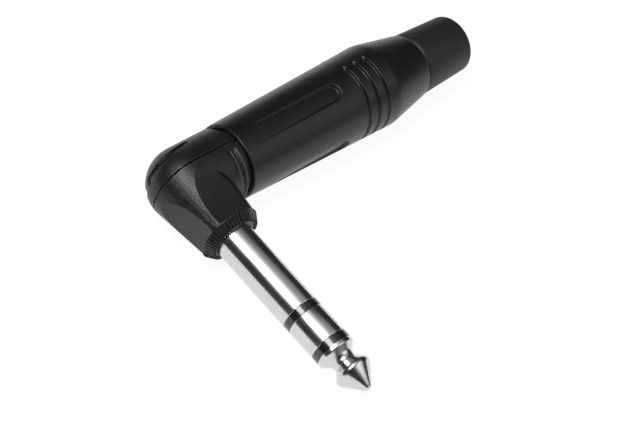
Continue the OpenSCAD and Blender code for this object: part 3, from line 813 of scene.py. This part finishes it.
def ridgeMesh(s):
    # One ridge with a chamfered back, drawn in mm where it stands at angle 0 of the finger's frame
    half, deep, up = s["width"] / 2, s["root"], s["height"]
    section = [(-half, -deep), (half, -deep), (half, up * 0.45), (half * 0.5, up),
               (-half * 0.5, up), (-half, up * 0.45)]
    inner = Vector((s["innerRadius"], 0, 0))
    low, high = Vector((s["faceRadius"], 0, 0)), Vector((s["rimRadius"], 0, s["bevel"] - 0.02))
    run = (high - low).normalized()
    out, flat = Vector((run.z, 0, -run.x)), Vector((0, 0, -1))
    # Along the ridge: the place, the way it stands out, and the share of its height
    stations = ((inner, flat, 0.2), (inner + Vector((0.1, 0, 0)), flat, 0.55),
                (low, (out + flat).normalized(), 0.9), (high - run * 0.1, out, 1), (high, out, 0.55))
    bm = bmesh.new()
    rings = []
    for place, outward, share in stations:
        rings.append([bm.verts.new(place + Vector((0, y, 0)) + outward * (z if z < 0 else z * share))
                      for y, z in section])
    joinRings(bm, rings, closed=False)
    return meshFrom(bm, "collar_teeth")


def collarRule(inputs):
    tree, given, t = fieldTree("collarRing", inputs)
    circle = tree.nodes.new("GeometryNodeMeshCircle")
    circle.inputs["Radius"].default_value = 0.001
    tree.links.new(t["Tooth Count"].socket, circle.inputs["Vertices"])
    gather = tree.nodes.new("GeometryNodeSetPosition")
    gather.inputs["Position"].default_value = (0, 0, 0)
    tree.links.new(circle.outputs[0], gather.inputs["Geometry"])
    order = fieldTerm(tree, tree.nodes.new("GeometryNodeInputIndex").outputs[0])
    turn = (order + 0.5) / t["Tooth Count"] * (2 * math.pi)
    spin = tree.nodes.new("ShaderNodeCombineXYZ")
    tree.links.new(turn.socket, spin.inputs[2])
    place = tree.nodes.new("GeometryNodeInstanceOnPoints")
    tree.links.new(gather.outputs[0], place.inputs["Points"])
    tree.links.new(given.outputs["Geometry"], place.inputs["Instance"])
    tree.links.new(spin.outputs[0], place.inputs["Rotation"])
    return closeTree(tree, given, place.outputs[0])


def makeCollar(s):
    piece = linkPiece("collar_teeth", ridgeMesh(s))
    runTree(piece, collarRule(s["inputs"]), "elbowBlack", s["inputs"],
            fingerFrame @ Matrix.Translation((s["offset"], 0, 0)), 30)
    finishPiece(piece, "elbowBlack", "elbow", "elbow_black")


makeCollar(collar)
print("collar serrated")

# Thread: its ridge, swept along the spiral


def threadRule(inputs):
    tree, given, t = fieldTree("threadRidge", inputs)
    spiral = tree.nodes.new("GeometryNodeCurveSpiral")
    spiral.inputs["Resolution"].default_value = 72
    for label in ("Start Radius", "End Radius"):
        tree.links.new(t["Root Radius"].socket, spiral.inputs[label])
    tree.links.new(t["Turns"].socket, spiral.inputs["Rotations"])
    tree.links.new((t["Turns"] * t["Pitch"]).socket, spiral.inputs["Height"])
    upright = tree.nodes.new("GeometryNodeSetCurveNormal")
    upright.mode = "Z_UP"
    tree.links.new(spiral.outputs[0], upright.inputs[0])
    # The section is the input mesh's outline, made a curve
    outline = tree.nodes.new("GeometryNodeMeshToCurve")
    tree.links.new(given.outputs["Geometry"], outline.inputs[0])
    sweep = tree.nodes.new("GeometryNodeCurveToMesh")
    sweep.inputs["Fill Caps"].default_value = True
    tree.links.new(upright.outputs[0], sweep.inputs["Curve"])
    tree.links.new(outline.outputs[0], sweep.inputs["Profile Curve"])
    return closeTree(tree, given, sweep.outputs[0])


def makeThread(s):
    corners = list(s["section"]) + [(out, -along) for out, along in reversed(s["section"])]
    count = len(corners)
    mesh = bpy.data.meshes.new("elbow_thread")
    mesh.from_pydata([(x, y, 0) for x, y in corners], [(k, (k + 1) % count) for k in range(count)], [])
    piece = linkPiece("elbow_thread", mesh)
    runTree(piece, threadRule(s["inputs"]), "elbowBlack", s["inputs"],
            barrelFrame @ Matrix.Translation((0, 0, s["start"])), 40)
    finishPiece(piece, "elbowBlack", "elbow", "elbow_black")


makeThread(thread)
print("thread swept")

# CAD nodes that keep their own shape

for node, material in {
        "insulating_liner": "linerCard", "strain_relief_chuck": "chuckGrey",
        "lower_washer": "washerBoard", "upper_washer": "washerBoard",
        "sleeve_terminal": "tagTin", "ring_terminal": "tagTin", "tip_terminal": "tagTin"}.items():
    nodes[node].data.materials.clear()
    nodes[node].data.materials.append(materials[material])
print("CAD nodes finished")

# Floor and soft studio light

floor = {"size": 3.0, "colour": (0.12, 0.12, 0.12, 1), "rough": 0.9, "specular": 0.1, "glow": 0.93}
keyLamp = {"toward": (-0.47, 0.14, 0.88), "aim": (0.02, 0.005, 0), "distance": 0.5,
           "size": (0.24, 0.22), "power": 1.6}
# Studio round the part: dark, with broad soft glows, each fading from near to wide degrees off its middle
studio = {"dark": 0.032, "tint": (0.97, 0.98, 1, 1), "near": 6, "wide": 34}
glows = (   # turn is degrees from X toward Y, and height is degrees over both, in the part's own axes
    {"turn": 180, "height": 68, "level": 1.14},   # over the elbow
    {"turn": 120, "height": 68, "level": 0.84},
    {"turn": 0, "height": 68, "level": 0.38},
    {"turn": 100, "height": 46, "level": 0.30},   # behind
    {"turn": 300, "height": 46, "level": 1.29},   # front
    {"turn": 288, "height": 24, "level": 0.21},
    {"turn": 198, "height": 4, "level": 0.14},    # faint, at the horizon
    {"turn": 54, "height": 4, "level": 0.10},
    {"turn": 126, "height": 4, "level": 0.08},
)


def makeFloor(s):
    bm = bmesh.new()
    bmesh.ops.create_grid(bm, x_segments=1, y_segments=1, size=s["size"] / 2)
    obj = linkPiece("floor", meshFrom(bm, "floor"))
    obj.location.z = cadBox[0].z
    mat, tree, shader = newMaterial("floorWhite")
    shader.inputs["Base Color"].default_value = s["colour"]
    shader.inputs["Roughness"].default_value = s["rough"]
    shader.inputs["Specular IOR Level"].default_value = s["specular"]
    shader.inputs["Emission Color"].default_value = (1, 1, 1, 1)
    shader.inputs["Emission Strength"].default_value = s["glow"]
    obj.data.materials.append(mat)


def makeKeyLamp(s):
    data = bpy.data.lights.new("keyLight", "AREA")
    data.shape = "RECTANGLE"
    data.size, data.size_y = s["size"]
    data.energy = s["power"]
    lamp = bpy.data.objects.new("keyLight", data)
    bpy.context.scene.collection.objects.link(lamp)
    toward = (layTurn.to_3x3() @ Vector(s["toward"])).normalized()
    lamp.location = Vector(s["aim"]) + toward * s["distance"]
    lamp.rotation_mode = "QUATERNION"
    lamp.rotation_quaternion = toward.to_track_quat("Z", "Y")


def makeWorld(s):
    world = bpy.data.worlds.new("studio")
    world.use_nodes = True
    tree = world.node_tree
    coords = tree.nodes.new("ShaderNodeTexCoord").outputs["Generated"]
    total = s["dark"]
    for glow in glows:
        turn, height = math.radians(glow["turn"]), math.radians(glow["height"])
        flat = math.cos(height)
        toward = Vector((flat * math.cos(turn), flat * math.sin(turn), math.sin(height)))
        facing = tree.nodes.new("ShaderNodeVectorMath")
        facing.operation = "DOT_PRODUCT"
        facing.inputs[1].default_value = layTurn.to_3x3() @ toward
        tree.links.new(coords, facing.inputs[0])
        fall = tree.nodes.new("ShaderNodeMapRange")
        fall.interpolation_type = "SMOOTHSTEP"
        fall.inputs["From Min"].default_value = math.radians(s["near"])
        fall.inputs["From Max"].default_value = math.radians(s["wide"])
        fall.inputs["To Min"].default_value, fall.inputs["To Max"].default_value = glow["level"], 0
        tree.links.new(mathNode(tree, "ARCCOSINE", facing.outputs["Value"]), fall.inputs["Value"])
        total = mathNode(tree, "ADD", fall.outputs["Result"], total)
    background = tree.nodes["Background"]
    background.inputs["Color"].default_value = s["tint"]
    tree.links.new(total, background.inputs["Strength"])
    bpy.context.scene.world = world
    bpy.context.scene.view_settings.view_transform = "Standard"


makeFloor(floor)
makeKeyLamp(keyLamp)
makeWorld(studio)
print("stage lit")
